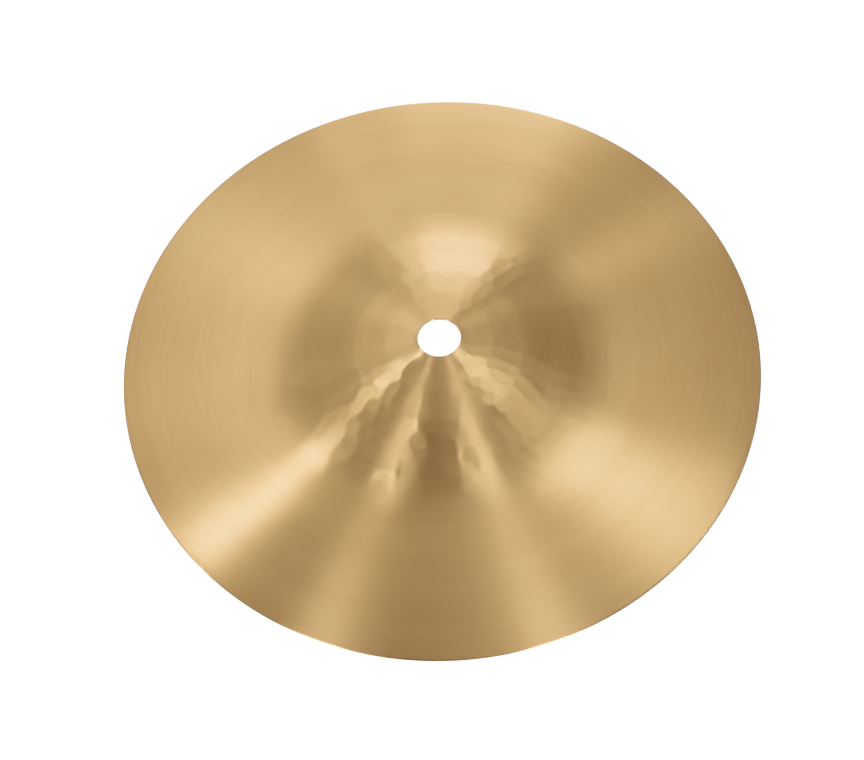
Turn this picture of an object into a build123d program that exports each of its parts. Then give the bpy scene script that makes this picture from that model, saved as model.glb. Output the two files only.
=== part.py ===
"""Small thin crash cymbal (splash size), one piece of bronze sheet, spun, hammered and lathed.

Frame: millimetres, +Z up along the axis of the mounting hole, bell uppermost.
The origin is on that axis in the plane the rim rests on, so the metal spans Z = 0 to the crown.
"""

import os
from math import asin, atan2, cos, degrees, hypot, pi, radians, sin, tan

from build123d import *

os.makedirs("parts", exist_ok=True)

# ---------------------------------------------------------------- driving dimensions
DIAMETER = 203.2  # nominal 8 inch, over the turned rim
HOLE_DIAMETER = 13.5  # mounting hole
RIM_SLOPE = 11.2  # fall of the bow where it meets the rim, degrees
BOW_RADIUS = 520.0  # meridian radius of the bow's upper surface
BELL_FOOT_R = 55.6  # where the bell's soft foot has run out into the bow
FOOT_RADIUS = 48.0  # concave meridian radius of the foot, upper surface
BELL_SIDE_SLOPE = 21.2  # fall of the bell's straight side, degrees
SHOULDER_R = 34.0  # where the crown's curve has become the straight side
CROWN_RADIUS = 134.0  # meridian radius of the crown's upper surface
SHEET_AT_BELL = 0.80  # metal thickness at the bell
SHEET_AT_RIM = 0.60  # metal thickness after tapering, at the rim
RIM_ROUND = 0.22  # rounding of both corners of the rim
HOLE_BREAK = 0.12  # broken edges of the mounting hole

RIM_R = DIAMETER / 2
HOLE_R = HOLE_DIAMETER / 2


# ---------------------------------------------------------------- points of the meridian
# A point is (radius, height). A surface that falls outward at slope s has its upward normal
# along (sin s, cos s).
def up_from(point, slope, distance):
    return (point[0] + distance * sin(slope), point[1] + distance * cos(slope))


def on_arc(centre, radius, slope):
    """Point of a convex arc (centre below) where it falls at slope. A negative radius is concave."""
    return (centre[0] + radius * sin(slope), centre[1] + radius * cos(slope))


# Upper surface, from the rim inward: bow, foot, straight side, crown.
rim_slope = radians(RIM_SLOPE)
side_slope = radians(BELL_SIDE_SLOPE)
rim_top = (RIM_R, SHEET_AT_RIM)
bow_c = up_from(rim_top, rim_slope, -BOW_RADIUS)
bow_start_slope = asin((BELL_FOOT_R - bow_c[0]) / BOW_RADIUS)
top_b = on_arc(bow_c, BOW_RADIUS, bow_start_slope)
foot_c = up_from(top_b, bow_start_slope, FOOT_RADIUS)
top_a = on_arc(foot_c, -FOOT_RADIUS, side_slope)
top_s = (SHOULDER_R, top_a[1] + (top_a[0] - SHOULDER_R) * tan(side_slope))
crown_c = up_from(top_s, side_slope, -CROWN_RADIUS)
top_h_slope = asin((HOLE_R - crown_c[0]) / CROWN_RADIUS)
top_h = on_arc(crown_c, CROWN_RADIUS, top_h_slope)

# Under surface: parallel to the upper one over the bell and its foot. The bow is tapered by
# lathing, so its under surface leaves the foot parallel and reaches the rim SHEET_AT_RIM below.
low_s = on_arc(crown_c, CROWN_RADIUS - SHEET_AT_BELL, side_slope)
low_a = on_arc(foot_c, -(FOOT_RADIUS + SHEET_AT_BELL), side_slope)
low_b = on_arc(foot_c, -(FOOT_RADIUS + SHEET_AT_BELL), bow_start_slope)
low_h_slope = asin((HOLE_R - crown_c[0]) / (CROWN_RADIUS - SHEET_AT_BELL))
low_h = on_arc(crown_c, CROWN_RADIUS - SHEET_AT_BELL, low_h_slope)
rim_low = (RIM_R, 0.0)
chord_slope = atan2(low_b[1] - rim_low[1], rim_low[0] - low_b[0])
low_rim_slope = 2 * chord_slope - bow_start_slope
low_bow_radius = hypot(rim_low[0] - low_b[0], low_b[1] - rim_low[1]) / (
    2 * sin(chord_slope - bow_start_slope)
)
low_bow_c = up_from(low_b, bow_start_slope, -low_bow_radius)

# Rounding the rim takes its lowest corner away, so the section sits that much lower and the
# rounded rim touches Z = 0.
rim_drop = RIM_ROUND * (tan(low_rim_slope) + 1 / cos(low_rim_slope) - 1)
section_plane = Plane(origin=(0, 0, -rim_drop), x_dir=(1, 0, 0), z_dir=(0, -1, 0))

# ---------------------------------------------------------------- the cymbal
with BuildPart() as cymbal:
    with BuildSketch(section_plane) as section:
        with BuildLine():
            ThreePointArc(top_h, on_arc(crown_c, CROWN_RADIUS, (top_h_slope + side_slope) / 2), top_s)
            Line(top_s, top_a)
            ThreePointArc(top_a, on_arc(foot_c, -FOOT_RADIUS, (side_slope + bow_start_slope) / 2), top_b)
            ThreePointArc(top_b, on_arc(bow_c, BOW_RADIUS, (bow_start_slope + rim_slope) / 2), rim_top)
            Line(rim_top, rim_low)
            ThreePointArc(
                rim_low,
                on_arc(low_bow_c, low_bow_radius, (bow_start_slope + low_rim_slope) / 2),
                low_b,
            )
            ThreePointArc(
                low_b,
                on_arc(foot_c, -(FOOT_RADIUS + SHEET_AT_BELL), (side_slope + bow_start_slope) / 2),
                low_a,
            )
            Line(low_a, low_s)
            ThreePointArc(
                low_s,
                on_arc(crown_c, CROWN_RADIUS - SHEET_AT_BELL, (low_h_slope + side_slope) / 2),
                low_h,
            )
            Line(low_h, top_h)
        make_face()
        # turned rim: both corners rounded
        fillet(section.vertices().group_by(Axis.X)[-1], RIM_ROUND)
        # mounting hole: both edges broken
        chamfer(section.vertices().group_by(Axis.X)[0], HOLE_BREAK)
    revolve(axis=Axis.Z)

cymbal.part.label = "cymbal"
export_step(cymbal.part, "parts/cymbal.step")

hole_wall = cymbal.faces().filter_by(GeomType.CYLINDER).sort_by(lambda f: f.radius)[0]
box = cymbal.part.bounding_box()
print("foot of the bell, upper side, radius", round(top_a[0], 2), "to", round(top_b[0], 2))
print("slopes: hole", round(degrees(top_h_slope), 2), "bow start", round(degrees(bow_start_slope), 2), "rim underside", round(degrees(low_rim_slope), 2))
print("underside bow radius", round(low_bow_radius, 1), "rim drop", rim_drop)
print("hole wall z", round(hole_wall.bounding_box().min.Z, 4), "to", round(hole_wall.bounding_box().max.Z, 4))
print("size", [round(v, 3) for v in (box.size.X, box.size.Y, box.size.Z)], "low", [round(v, 3) for v in (box.min.X, box.min.Y, box.min.Z)])
print("volume", round(cymbal.part.volume, 1), "mm3", "solids", len(cymbal.part.solids()))
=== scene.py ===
from math import asin, atan2, cos, hypot, pi, radians, sin, sqrt, tan

import bpy
import numpy as np
from mathutils import Matrix, Vector


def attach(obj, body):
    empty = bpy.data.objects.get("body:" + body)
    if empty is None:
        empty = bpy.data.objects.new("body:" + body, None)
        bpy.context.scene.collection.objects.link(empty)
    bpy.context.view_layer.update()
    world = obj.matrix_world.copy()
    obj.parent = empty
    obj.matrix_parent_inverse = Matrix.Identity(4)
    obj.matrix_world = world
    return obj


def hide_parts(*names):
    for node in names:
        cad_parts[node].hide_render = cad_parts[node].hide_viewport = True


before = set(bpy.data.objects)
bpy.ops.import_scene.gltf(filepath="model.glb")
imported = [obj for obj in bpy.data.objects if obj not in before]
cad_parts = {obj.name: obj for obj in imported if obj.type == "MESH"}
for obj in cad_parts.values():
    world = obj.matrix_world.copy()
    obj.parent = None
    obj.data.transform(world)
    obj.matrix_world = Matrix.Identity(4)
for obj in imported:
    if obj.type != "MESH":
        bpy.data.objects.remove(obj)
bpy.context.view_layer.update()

MM = 0.001

# ---------------------------------------------------------------- camera
camera_data = bpy.data.cameras.new("camera")
camera = bpy.data.objects.new("camera", camera_data)
bpy.context.scene.collection.objects.link(camera)
cam_pos = Vector((0.0, -0.56548973, 1.02267966))
cam_forward = Vector((-0.00278738, 0.48178399, -0.87628558))
cam_up = Vector((0.07213131, 0.87410323, 0.48035468))
cam_right = cam_forward.cross(cam_up).normalized()
cam_up = cam_right.cross(cam_forward).normalized()
camera.matrix_world = Matrix((
    (cam_right.x, cam_up.x, -cam_forward.x, cam_pos.x),
    (cam_right.y, cam_up.y, -cam_forward.y, cam_pos.y),
    (cam_right.z, cam_up.z, -cam_forward.z, cam_pos.z),
    (0, 0, 0, 1),
))
camera_data.sensor_fit = "HORIZONTAL"
camera_data.sensor_width = 36.0
camera_data.lens = 152.694
camera_data.clip_start, camera_data.clip_end = 0.05, 50.0
bpy.context.scene.camera = camera

# ---------------------------------------------------------------- the disc's section, in mm
# the same arcs as the CAD section: crown, straight side, soft foot, bow, turned rim
RIM_R, HOLE_R = 101.6, 6.75
CROWN_R, FOOT_R, BOW_R = 134.0, 48.0, 520.0
SHOULDER, FOOT_END = 34.0, 55.6
SIDE, RIM_FALL = radians(21.2), radians(11.2)
T_BELL, T_RIM, RIM_ROUND, HOLE_BREAK = 0.80, 0.60, 0.22, 0.12


def up_from(p, s, d):
    return (p[0] + d * sin(s), p[1] + d * cos(s))


bow_c = up_from((RIM_R, T_RIM), RIM_FALL, -BOW_R)
bow_s = asin((FOOT_END - bow_c[0]) / BOW_R)
top_b = up_from(bow_c, bow_s, BOW_R)
foot_c = up_from(top_b, bow_s, FOOT_R)
top_a = up_from(foot_c, SIDE, -FOOT_R)
top_s = (SHOULDER, top_a[1] + (top_a[0] - SHOULDER) * tan(SIDE))
crown_c = up_from(top_s, SIDE, -CROWN_R)
low_s = up_from(crown_c, SIDE, CROWN_R - T_BELL)
low_a = up_from(foot_c, SIDE, -(FOOT_R + T_BELL))
low_b = up_from(foot_c, bow_s, -(FOOT_R + T_BELL))
chord_s = atan2(low_b[1], RIM_R - low_b[0])
low_rim_s = 2 * chord_s - bow_s
low_bow_r = hypot(RIM_R - low_b[0], low_b[1]) / (2 * sin(chord_s - bow_s))
low_bow_c = up_from(low_b, bow_s, -low_bow_r)
DROP = RIM_ROUND * (tan(low_rim_s) + 1 / cos(low_rim_s) - 1)


def arcs(r, s_pt, a_pt, b_pt, crown_r, foot_r, bc, br):
    r = np.asarray(r, float)
    crown = crown_c[1] + np.sqrt(np.maximum(crown_r**2 - (r - crown_c[0]) ** 2, 0))
    side = s_pt[1] - (r - s_pt[0]) * tan(SIDE)
    foot = foot_c[1] - np.sqrt(np.maximum(foot_r**2 - (r - foot_c[0]) ** 2, 0))
    bow = bc[1] + np.sqrt(np.maximum(br**2 - (r - bc[0]) ** 2, 0))
    z = np.where(r <= s_pt[0], crown, np.where(r <= a_pt[0], side, np.where(r <= b_pt[0], foot, bow)))
    return z - DROP


def z_top(r):
    return arcs(r, top_s, top_a, top_b, CROWN_R, FOOT_R, bow_c, BOW_R)


def z_low(r):
    return arcs(r, low_s, low_a, low_b, CROWN_R - T_BELL, FOOT_R + T_BELL, low_bow_c, low_bow_r)


# Spinning the bell over its former left rings: the slope steps up at radius 17.5 and 26 mm.
# Each pair is radius and how much steeper the metal falls there, in degrees.
STEPS = [
    (6.75, 0.84), (9, 1.10), (11.5, -0.25), (14.5, -1.26), (16.9, -1.53), (18.1, 1.01), (21.5, 0.12),
    (25.3, -0.88), (26.6, 0.92), (28.5, 1.23), (30.5, 1.51), (33.5, 0.75), (36.5, 0.04), (44, -0.00),
    (48, 0.37), (54, 0.21), (60, -0.31), (70, -1.09), (76.5, -1.42), (79, -0.37), (90, -0.52),
    (98, 0.35), (101.6, 0.34),
]
fine_r = np.linspace(6.6, 101.6, 4001)
fine_z = z_top(fine_r)
fine_t = -np.gradient(fine_z, fine_r)
turned = np.tan(np.arctan(fine_t) + np.radians(np.interp(fine_r, [p[0] for p in STEPS], [p[1] for p in STEPS]))) - fine_t
lost = np.concatenate([[0], np.cumsum((turned[1:] + turned[:-1]) / 2 * np.diff(fine_r))])
rings = lost[-1] - lost
rings = rings - rings[0] * (101.6 - fine_r) / (101.6 - fine_r[0])


def ring_shape(r):
    return np.interp(r, fine_r, rings)


rng = np.random.default_rng(7)

# Lathe lines: a fixed random sum of ripples that come and go around the disc, because the tool
# bites harder in some places than in others
groove_k = 2 * pi / rng.uniform(1.5, 3.6, 30)
groove_p = rng.uniform(0, 2 * pi, 30)
groove_m = rng.integers(1, 4, 30)
groove_q = rng.uniform(0, 2 * pi, 30)
groove_a = rng.uniform(0.3, 1.0, 30) / groove_k
groove_c = rng.uniform(10, 95, 30)
groove_f = rng.uniform(0, 2 * pi, 30)


def lathe_lines(r, phi):
    out = np.zeros(np.broadcast(r, phi).shape)
    for k, p, m, q, a, c, f in zip(groove_k, groove_p, groove_m, groove_q, groove_a, groove_c, groove_f):
        bite = np.exp(-((r - c) / 16) ** 2) * (0.25 + np.clip(np.cos(phi - f), 0, 1) ** 2)
        out += a * bite * np.sin(k * r + p + 0.5 * np.sin(m * phi + q))
    return out / sqrt(8)


# Hammer marks and the soft warps between them: x, y, radius and height, in mm
HAMMER_MARKS = [
    (-7.3, -0.7, 3.0, -0.150), (5.0, -8.8, 4.0, 0.161), (-8.6, -11.5, 1.7, -0.062), (9.6, -11.3, 2.2, -0.098),
    (-16.0, 1.2, 3.7, 0.112), (6.3, -20.3, 1.2, 0.122), (22.4, 6.2, 13.2, -0.166), (-9.9, -21.3, 2.1, -0.096),
    (-14.8, -22.0, 9.0, -0.108), (16.5, -23.3, 2.1, 0.067), (-7.9, -27.9, 1.8, 0.179), (29.9, 2.3, 14.0, -0.106),
    (17.1, 25.4, 2.2, 0.055), (24.8, -18.6, 1.9, -0.051), (-13.3, 28.4, 4.2, -0.271), (-27.3, -19.3, 3.2, 0.110),
    (-9.0, -33.4, 1.5, -0.063), (2.8, -34.8, 1.8, 0.113), (32.1, -14.1, 3.1, -0.071), (23.0, 29.0, 2.0, -0.061),
    (-31.3, -22.7, 1.9, 0.048), (6.0, -38.7, 2.3, -0.118), (7.9, -39.5, 11.7, 0.375), (-16.7, 37.6, 4.8, -0.235),
    (22.0, 37.7, 4.7, -0.135), (-17.8, -39.9, 1.8, 0.123), (15.4, -41.9, 3.5, 0.110), (3.5, -44.7, 2.9, 0.193),
    (-46.6, -4.3, 5.0, 0.223), (-7.0, -47.0, 5.7, 0.182), (-21.6, -43.1, 2.3, -0.205), (47.6, 13.5, 6.7, 0.291),
    (-48.6, -19.7, 5.7, -0.120), (37.6, -37.8, 6.0, -0.112), (-43.1, -31.8, 3.4, -0.059), (-16.0, -51.1, 4.1, 0.151),
    (-35.7, -41.5, 6.7, -0.087), (24.9, -50.7, 4.3, 0.076), (28.7, 49.3, 7.9, 0.184), (-58.2, -10.0, 10.9, -0.304),
    (48.7, -34.4, 6.3, -0.117), (61.5, -13.3, 11.9, -0.291), (-39.0, -53.0, 11.9, 0.134), (70.1, 14.9, 14.0, -0.362),
    (-54.0, -49.0, 8.9, 0.081), (33.1, 73.7, 13.3, 0.212), (82.7, -34.2, 11.3, 0.128), (-77.4, -64.2, 13.8, 0.111),
]


def hammering(x, y):
    out = np.zeros_like(x)
    for mx, my, w, a in HAMMER_MARKS:
        d2 = (x - mx) ** 2 + (y - my) ** 2
        near = d2 < (4.2 * w) ** 2
        out[near] += a * np.exp(-d2[near] / (2 * w * w))
    return out


# Planishing: the hammer's face leaves small flat facets side by side on the bell, and soft ridges
# between them. A facet is flat both ways near the hole. Further out it is flat across and keeps
# the curve of the section lengthwise.
FACET_NEAR, FACET_GROWTH, FACET_SOFT = 3.0, 0.05, 2.0     # width = 3.0 mm + 0.05 of the radius
FACET_FROM, FACET_TO, FACET_LEAN, FACET_SHARE = 9.0, 60.0, radians(0.04), 0.8


def profile(r):
    return z_top(r) + ring_shape(r)


def disc_surface(x, y):
    return profile(np.hypot(x, y)) + hammering(x, y)


facet_rng = np.random.default_rng(1)
centres = []
ring_r = 8.6
while ring_r < 66:
    width = FACET_NEAR + FACET_GROWTH * ring_r
    count = int(round(2 * pi * ring_r / width))
    turn = facet_rng.uniform(0, 2 * pi)
    for step in range(count):
        a = turn + 2 * pi * (step + facet_rng.uniform(-0.22, 0.22)) / count
        rr = ring_r + facet_rng.uniform(-0.18, 0.18) * width
        centres.append((rr * cos(a), rr * sin(a)))
    ring_r += width * 0.9
centres = np.array(centres)
centre_r = np.hypot(centres[:, 0], centres[:, 1])
out_x, out_y = centres[:, 0] / centre_r, centres[:, 1] / centre_r
centre_z = profile(centre_r)
fall = (profile(centre_r + 0.5) - profile(centre_r - 0.5)) / 1.0
dent_z = hammering(centres[:, 0], centres[:, 1])
dent_x = (hammering(centres[:, 0] + 0.6, centres[:, 1]) - hammering(centres[:, 0] - 0.6, centres[:, 1])) / 1.2
dent_y = (hammering(centres[:, 0], centres[:, 1] + 0.6) - hammering(centres[:, 0], centres[:, 1] - 0.6)) / 1.2
dent_x += facet_rng.normal(0, FACET_LEAN, len(centres))
dent_y += facet_rng.normal(0, FACET_LEAN, len(centres))
lengthwise = np.clip((centre_r - 28) / 10, 0, 1)


def faceted(x, y):
    """Height of the facets above the smooth disc."""
    shape = x.shape
    x, y = x.ravel(), y.ravel()
    out = np.zeros(len(x))
    for start in range(0, len(x), 8000):
        px, py = x[start:start + 8000], y[start:start + 8000]
        d2 = (px[:, None] - centres[None, :, 0]) ** 2 + (py[:, None] - centres[None, :, 1]) ** 2
        near = np.argpartition(d2, 6, axis=1)[:, :6]
        d2 = np.take_along_axis(d2, near, 1)
        w = np.exp(-(d2 - d2.min(1, keepdims=True)) / FACET_SOFT)
        along = px[:, None] * out_x[near] + py[:, None] * out_y[near]
        flat = centre_z[near] + fall[near] * (along - centre_r[near])
        height = flat + (profile(along) - flat) * lengthwise[near]
        height = height + dent_z[near] + dent_x[near] * (px[:, None] - centres[near, 0]) + dent_y[near] * (py[:, None] - centres[near, 1])
        out[start:start + 8000] = (w * height).sum(1) / w.sum(1)
    r = np.hypot(x, y)
    share = FACET_SHARE * np.clip((r - FACET_FROM) / 2, 0, 1) * np.clip((FACET_TO - r) / 14, 0, 1)
    return ((out - disc_surface(x, y)) * share).reshape(shape)


GROOVE_TOP, GROOVE_LOW = 0.0009, 0.0016

# ---------------------------------------------------------------- the mesh
SEGMENTS = 322


def rim_arcs():
    """Rounded rim: from the top surface round to the under surface."""
    c_top = (RIM_R - RIM_ROUND, T_RIM - DROP + RIM_ROUND * tan(RIM_FALL) - RIM_ROUND / cos(RIM_FALL))
    c_low = (RIM_R - RIM_ROUND, RIM_ROUND)
    pts = []
    for a in np.linspace(pi / 2 - RIM_FALL, 0, 5):
        pts.append((c_top[0] + RIM_ROUND * cos(a), c_top[1] + RIM_ROUND * sin(a)))
    for a in np.linspace(0, -(pi / 2 + low_rim_s), 5):
        pts.append((c_low[0] + RIM_ROUND * cos(a), c_low[1] + RIM_ROUND * sin(a)))
    return pts


bell_r = np.concatenate([np.arange(HOLE_R + 2.5 * HOLE_BREAK, 17.0, 0.45), np.arange(17.0, 18.2, 0.24),
                         np.arange(18.4, 25.2, 0.45), np.arange(25.3, 26.8, 0.25), np.arange(27.0, 58.0, 0.48)])
bow_r = np.arange(58.3, RIM_R - RIM_ROUND - 0.15, 0.5)
top_r = np.concatenate([bell_r, bow_r])
low_r = np.concatenate([np.arange(RIM_R - 0.7, 56.0, -1.0), np.arange(55.6, HOLE_R + 0.4, -1.3)])

phi = np.arange(SEGMENTS) * 2 * pi / SEGMENTS
rows_r, rows_z, kinds = [], [], []
for r in top_r:
    rows_r.append(r); rows_z.append(float(z_top(r))); kinds.append("top")
for r, z in rim_arcs():
    rows_r.append(r); rows_z.append(z); kinds.append("rim")
for r in low_r:
    rows_r.append(r); rows_z.append(float(z_low(r))); kinds.append("low")
zt, zl = float(z_top(HOLE_R)), float(z_low(HOLE_R))
hb = HOLE_BREAK
for r, z in [(HOLE_R + 1.4 * hb, float(z_low(HOLE_R + 1.4 * hb))), (HOLE_R + 0.7 * hb, zl + 0.10 * hb),
             (HOLE_R + 0.2 * hb, zl + 0.5 * hb), (HOLE_R, zl + 1.2 * hb), (HOLE_R, (zl + zt) / 2),
             (HOLE_R, zt - 1.2 * hb), (HOLE_R + 0.2 * hb, zt - 0.5 * hb), (HOLE_R + 0.7 * hb, zt - 0.12 * hb),
             (HOLE_R + 1.4 * hb, float(z_top(HOLE_R + 1.4 * hb)))]:
    rows_r.append(r); rows_z.append(z); kinds.append("hole")
rows_r, rows_z, kinds = np.array(rows_r), np.array(rows_z), np.array(kinds)

R, PHI = np.meshgrid(rows_r, phi, indexing="ij")
X, Y = R * np.cos(PHI), R * np.sin(PHI)
Z = np.repeat(rows_z[:, None], SEGMENTS, 1)
is_top, is_low = kinds == "top", kinds == "low"
edge_fade = np.clip((RIM_R - 0.4 - R) / 1.5, 0, 1) * np.clip((R - HOLE_R - 0.3) / 1.0, 0, 1)
dents = hammering(X, Y)
bow_or_bell = np.clip((R - 44) / 12, 0, 1)
on_bell = is_top & (rows_r < FACET_TO)
facets = np.zeros_like(Z)
facets[on_bell] = faceted(X[on_bell], Y[on_bell])
Z[is_top] += (ring_shape(R) + dents * edge_fade + facets
              + GROOVE_TOP * (0.25 + 0.75 * bow_or_bell) * lathe_lines(R, PHI) * edge_fade)[is_top]
Z[is_low] += (ring_shape(R) * edge_fade + dents * edge_fade + GROOVE_LOW * lathe_lines(R * 0.8 + 3, PHI + 1) * edge_fade)[is_low]

n_rows = len(rows_r)
verts = np.stack([X, Y, Z], -1).reshape(-1, 3) * MM
i = np.arange(n_rows)[:, None] * SEGMENTS
j = np.arange(SEGMENTS)[None, :]
i2 = (np.roll(np.arange(n_rows), -1))[:, None] * SEGMENTS
j2 = (np.roll(np.arange(SEGMENTS), -1))[None, :]
faces = np.stack([i + j, i2 + j, i2 + j2, i + j2], -1).reshape(-1, 4)
mesh = bpy.data.meshes.new("cymbal_disc")
mesh.vertices.add(len(verts))
mesh.vertices.foreach_set("co", verts.ravel())
mesh.loops.add(faces.size)
mesh.loops.foreach_set("vertex_index", faces.ravel())
mesh.polygons.add(len(faces))
mesh.polygons.foreach_set("loop_start", np.arange(0, faces.size, 4))
mesh.polygons.foreach_set("loop_total", np.full(len(faces), 4))
mesh.polygons.foreach_set("use_smooth", np.ones(len(faces), bool))
mesh.update(calc_edges=True)
mesh.validate()
disc = bpy.data.objects.new("cymbal_disc", mesh)
bpy.context.scene.collection.objects.link(disc)
print("disc triangles", len(faces) * 2, "rings", n_rows)

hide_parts("cymbal")
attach(disc, "root")

# ---------------------------------------------------------------- lathed bronze
BASE = (0.90, 0.60, 0.312)
# width of the reflections along and across the tool lines (radius in mm, microfacet alpha)
ALONG = [
    (8, 0.0392), (22, 0.0408), (36, 0.0412), (48, 0.0332), (60, 0.0372), (80, 0.0356), (101, 0.0357),
]
ACROSS = [
    (8, 0.325), (30, 0.294), (48, 0.322), (60, 0.287), (80, 0.306), (101, 0.297),
]
metal = bpy.data.materials.new("lathed_bronze")
metal.use_nodes = True
nt = metal.node_tree
nt.nodes.clear()


def node(kind, **settings):
    n = nt.nodes.new(kind)
    for k, v in settings.items():
        setattr(n, k, v)
    return n


def math(op, a, b=None, c=None):
    n = node("ShaderNodeMath", operation=op)
    for s, v in zip(n.inputs, (a, b, c)):
        if v is None:
            continue
        if hasattr(v, "is_output"):
            nt.links.new(v, s)
        else:
            s.default_value = v
    return n.outputs[0]


out = node("ShaderNodeOutputMaterial")
bsdf = node("ShaderNodeBsdfPrincipled")
nt.links.new(bsdf.outputs[0], out.inputs["Surface"])
bsdf.inputs["Metallic"].default_value = 1.0
bsdf.inputs["Anisotropic Rotation"].default_value = 0.25

coord = node("ShaderNodeTexCoord")
split = node("ShaderNodeSeparateXYZ")
nt.links.new(coord.outputs["Object"], split.inputs[0])
x, y, z = split.outputs
rad = math("SQRT", math("ADD", math("MULTIPLY", x, x), math("MULTIPLY", y, y)))
cos_f, sin_f = math("DIVIDE", x, rad), math("DIVIDE", y, rad)


def ring_noise(scale_r, scale_f, detail=2.0, rough=0.5, seed=0.0):
    """Noise drawn out around the axis: fine across the grooves, slow along them."""
    vec = node("ShaderNodeCombineXYZ")
    nt.links.new(math("MULTIPLY_ADD", rad, scale_r, seed), vec.inputs[0])
    nt.links.new(math("MULTIPLY", cos_f, scale_f), vec.inputs[1])
    nt.links.new(math("MULTIPLY", sin_f, scale_f), vec.inputs[2])
    n = node("ShaderNodeTexNoise", noise_dimensions="3D")
    nt.links.new(vec.outputs[0], n.inputs["Vector"])
    n.inputs["Scale"].default_value = 1.0
    n.inputs["Detail"].default_value = detail
    n.inputs["Roughness"].default_value = rough
    return n.outputs["Fac"]


lines_mid = ring_noise(700.0, 2.2, 3.0, 0.6, 3.0)
lines_fine = ring_noise(2600.0, 3.5, 2.0, 0.5, 11.0)
bands = ring_noise(120.0, 0.6, 2.0, 0.5, 5.0)
blotch_n = node("ShaderNodeTexNoise", noise_dimensions="3D")
nt.links.new(coord.outputs["Object"], blotch_n.inputs["Vector"])
blotch_n.inputs["Scale"].default_value = 28.0
blotch_n.inputs["Detail"].default_value = 4.0
blotch = blotch_n.outputs["Fac"]

# colour: a deeper, redder bronze and a paler, yellower one, mixed by bands, lines and blotches
tone = math("ADD", math("MULTIPLY", math("SUBTRACT", lines_mid, 0.5), 0.9),
            math("ADD", math("MULTIPLY", math("SUBTRACT", bands, 0.5), 0.7), math("MULTIPLY", math("SUBTRACT", blotch, 0.5), 0.8)))
tone = math("ADD", tone, 0.5)
ramp = node("ShaderNodeMix", data_type="RGBA", clamp_factor=True)
nt.links.new(tone, ramp.inputs[0])
ramp.inputs[6].default_value = (BASE[0] * 0.955, BASE[1] * 0.935, BASE[2] * 0.90, 1)
ramp.inputs[7].default_value = (BASE[0] * 1.045, BASE[1] * 1.065, BASE[2] * 1.10, 1)
nt.links.new(ramp.outputs[2], bsdf.inputs["Base Color"])

# roughness: satin, with the tool lines slightly duller or brighter than their neighbours
def by_radius(value):
    """A smooth function of radius, drawn as a curve from the axis to the rim."""
    radii = np.array([0.0, 10, 20, 30, 40, 50, 60, 75, 90, 101.6])
    vals = np.array([value(r) for r in radii])
    n = node("ShaderNodeFloatCurve")
    curve = n.mapping.curves[0]
    pts = [(r / 101.6, v) for r, v in zip(radii, vals)]
    curve.points[0].location, curve.points[1].location = pts[0], pts[-1]
    for p in pts[1:-1]:
        curve.points.new(*p)
    n.mapping.update()
    nt.links.new(math("MULTIPLY", rad, 1 / 0.1016), n.inputs["Value"])
    return n.outputs[0]


def alphas(r):
    return (np.interp(r, [p[0] for p in ALONG], [p[1] for p in ALONG]),
            np.interp(r, [p[0] for p in ACROSS], [p[1] for p in ACROSS]))


rough = math("ADD", by_radius(lambda r: (alphas(r)[0] * alphas(r)[1]) ** 0.25),
             math("ADD", math("MULTIPLY", math("SUBTRACT", lines_mid, 0.5), 0.030),
                  math("MULTIPLY", math("SUBTRACT", blotch, 0.5), 0.020)))
nt.links.new(rough, bsdf.inputs["Roughness"])
nt.links.new(by_radius(lambda r: (1 - alphas(r)[0] / alphas(r)[1]) / 0.9), bsdf.inputs["Anisotropic"])
tangent = node("ShaderNodeTangent", direction_type="RADIAL", axis="Z")
nt.links.new(tangent.outputs[0], bsdf.inputs["Tangent"])

bump = node("ShaderNodeBump")
bump.inputs["Strength"].default_value = 1.0
bump.inputs["Distance"].default_value = 0.000004
nt.links.new(lines_fine, bump.inputs["Height"])
nt.links.new(bump.outputs[0], bsdf.inputs["Normal"])
mesh.materials.append(metal)

# ---------------------------------------------------------------- floor and studio light
def emitter(name, colour, strength):
    m = bpy.data.materials.new(name)
    m.use_nodes = True
    t = m.node_tree
    t.nodes.clear()
    o = t.nodes.new("ShaderNodeOutputMaterial")
    e = t.nodes.new("ShaderNodeEmission")
    e.inputs[0].default_value = (*colour, 1)
    e.inputs[1].default_value = strength
    t.links.new(e.outputs[0], o.inputs[0])
    return m


def sheet_object(name, verts, faces):
    m = bpy.data.meshes.new(name)
    m.from_pydata(verts, [], faces)
    o = bpy.data.objects.new(name, m)
    bpy.context.scene.collection.objects.link(o)
    return o


white = emitter("white_sweep", (1.0, 1.0, 1.0), 1.05)
floor_z = -0.0005
ring = [(6 * cos(a), 6 * sin(a), floor_z) for a in np.linspace(0, 2 * pi, 65)[:-1]]
wall = [(6 * cos(a), 6 * sin(a), 5.0) for a in np.linspace(0, 2 * pi, 65)[:-1]]
floor = sheet_object("floor", ring + wall, [tuple(range(64))] + [(k, (k + 1) % 64, 64 + (k + 1) % 64, 64 + k) for k in range(64)])
floor.data.materials.append(white)
for flag in ("visible_diffuse", "visible_glossy", "visible_transmission", "visible_volume_scatter", "visible_shadow"):
    setattr(floor, flag, False)

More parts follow.
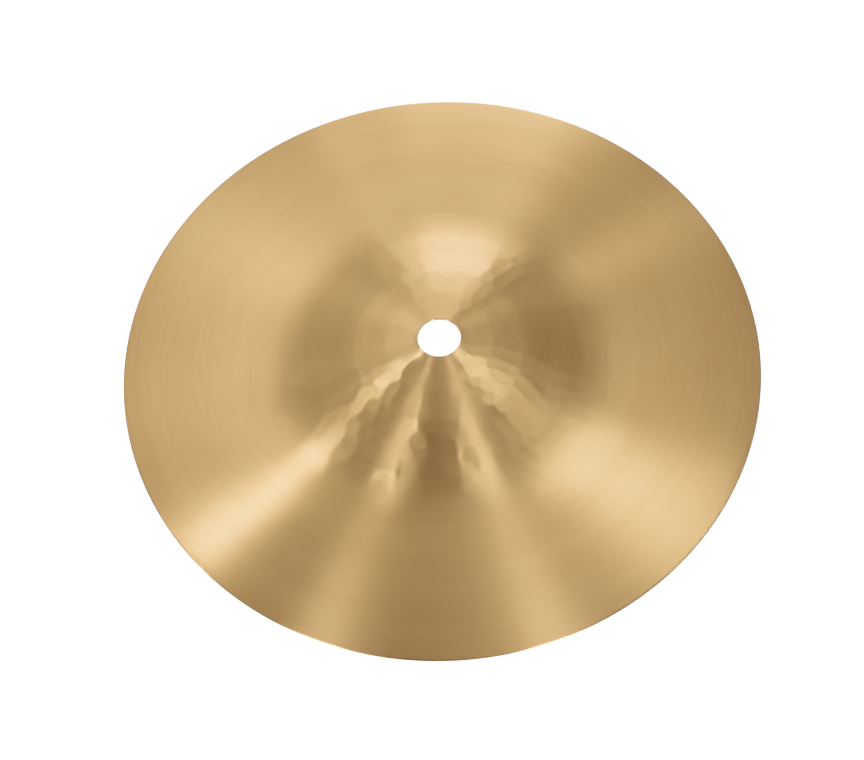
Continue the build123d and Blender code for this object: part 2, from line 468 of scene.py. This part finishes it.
scene = bpy.context.scene
world = bpy.data.worlds.new("room")
scene.world = world
world.use_nodes = True
AMBIENT, FLOOR_GLOW = 0.0968, 0.45
wt = world.node_tree
background = wt.nodes["Background"]
sky_dir = wt.nodes.new("ShaderNodeTexCoord")
sky_split = wt.nodes.new("ShaderNodeSeparateXYZ")
wt.links.new(sky_dir.outputs["Generated"], sky_split.inputs[0])
below = wt.nodes.new("ShaderNodeMapRange")
below.interpolation_type = "SMOOTHSTEP"
for socket, value in zip(below.inputs[1:5], (-0.22, 0.0, FLOOR_GLOW, AMBIENT)):
    socket.default_value = value
wt.links.new(sky_split.outputs[2], below.inputs[0])
wt.links.new(below.outputs[0], background.inputs[1])
background.inputs[0].default_value = (1.0, 1.0, 1.0, 1)

DIST = 1.2
# white softboxes: azimuth, elevation, width and height in degrees, and strength
SOFTBOXES = [
    (54.9, 71.4, 17.2, 11.7, 0.0561),
    (145.1, 64.8, 3.0, 3.4, 0.0756),
    (106.3, 45.9, 17.3, 25.7, 0.0968),
    (119.9, 59.5, 10.5, 8.3, 0.0320),
    (81.4, 26.5, 22.0, 50.0, 0.2169),
    (232.7, 14.7, 12.8, 11.4, 0.6030),
    (293.0, 13.3, 11.7, 22.2, 0.7175),
    (39.8, 68.0, 19.0, 7.6, 0.0388),
    (64.4, 56.1, 3.0, 27.4, 0.0457),
    (87.9, 3.1, 29.2, 3.2, 0.2800),
    (303.2, 75.7, 18.8, 27.7, 0.0643),
    (31.5, 62.2, 31.8, 18.9, 0.0488),
    (137.5, 49.8, 25.6, 29.8, 0.0329),
    (113.1, 64.6, 3.0, 38.0, 0.0457),
    (198.3, 4.5, 3.0, 3.4, 0.1056),
    (237.8, 28.2, 17.2, 20.1, 0.1829),
    (196.6, 64.2, 30.1, 5.9, 0.0323),
]
for k, (az, el, wide, high, strength) in enumerate(SOFTBOXES):
    a, e = radians(az), radians(el)
    d = Vector((cos(a) * cos(e), sin(a) * cos(e), sin(e)))
    lamp = bpy.data.lights.new("softbox_%d" % k, "AREA")
    lamp.shape = "RECTANGLE"
    lamp.size = 2 * DIST * tan(radians(wide / 2))
    lamp.size_y = 2 * DIST * tan(radians(high / 2))
    lamp.energy = strength * pi * DIST**2
    o = bpy.data.objects.new("softbox_%d" % k, lamp)
    scene.collection.objects.link(o)
    o.rotation_mode = "QUATERNION"
    o.location = d * DIST
    o.rotation_quaternion = d.to_track_quat("Z", "Y")
    o.visible_camera = False

scene.view_settings.view_transform = "Standard"
scene.view_settings.look = "None"
scene.view_settings.exposure = 0.0
scene.view_settings.gamma = 1.0
# a camera's tone curve: a soft toe and a shoulder, so that bright bronze pales
scene.view_settings.use_curve_mapping = True
tone_map = scene.view_settings.curve_mapping
tone_curve = tone_map.curves[3]
for x_in, y_out in ((0.05, 0.041), (0.1, 0.114), (0.2, 0.283), (0.3, 0.439), (0.45, 0.639), (0.6, 0.799), (0.8, 0.928)):
    tone_curve.points.new(x_in, y_out)
for x_in, y_out in ((0.065, 0.0642), (0.078, 0.0788), (0.095, 0.096), (0.15, 0.1487), (0.175, 0.1745), (0.188, 0.1893),
                     (0.202, 0.209), (0.217, 0.2305), (0.236, 0.256), (0.253, 0.284), (0.3, 0.355), (0.45, 0.54), (0.7, 0.78)):
    tone_map.curves[2].points.new(x_in, y_out)
for curve in tone_map.curves:
    for p in curve.points:
        p.handle_type = "AUTO"
tone_map.extend = "HORIZONTAL"
tone_map.update()
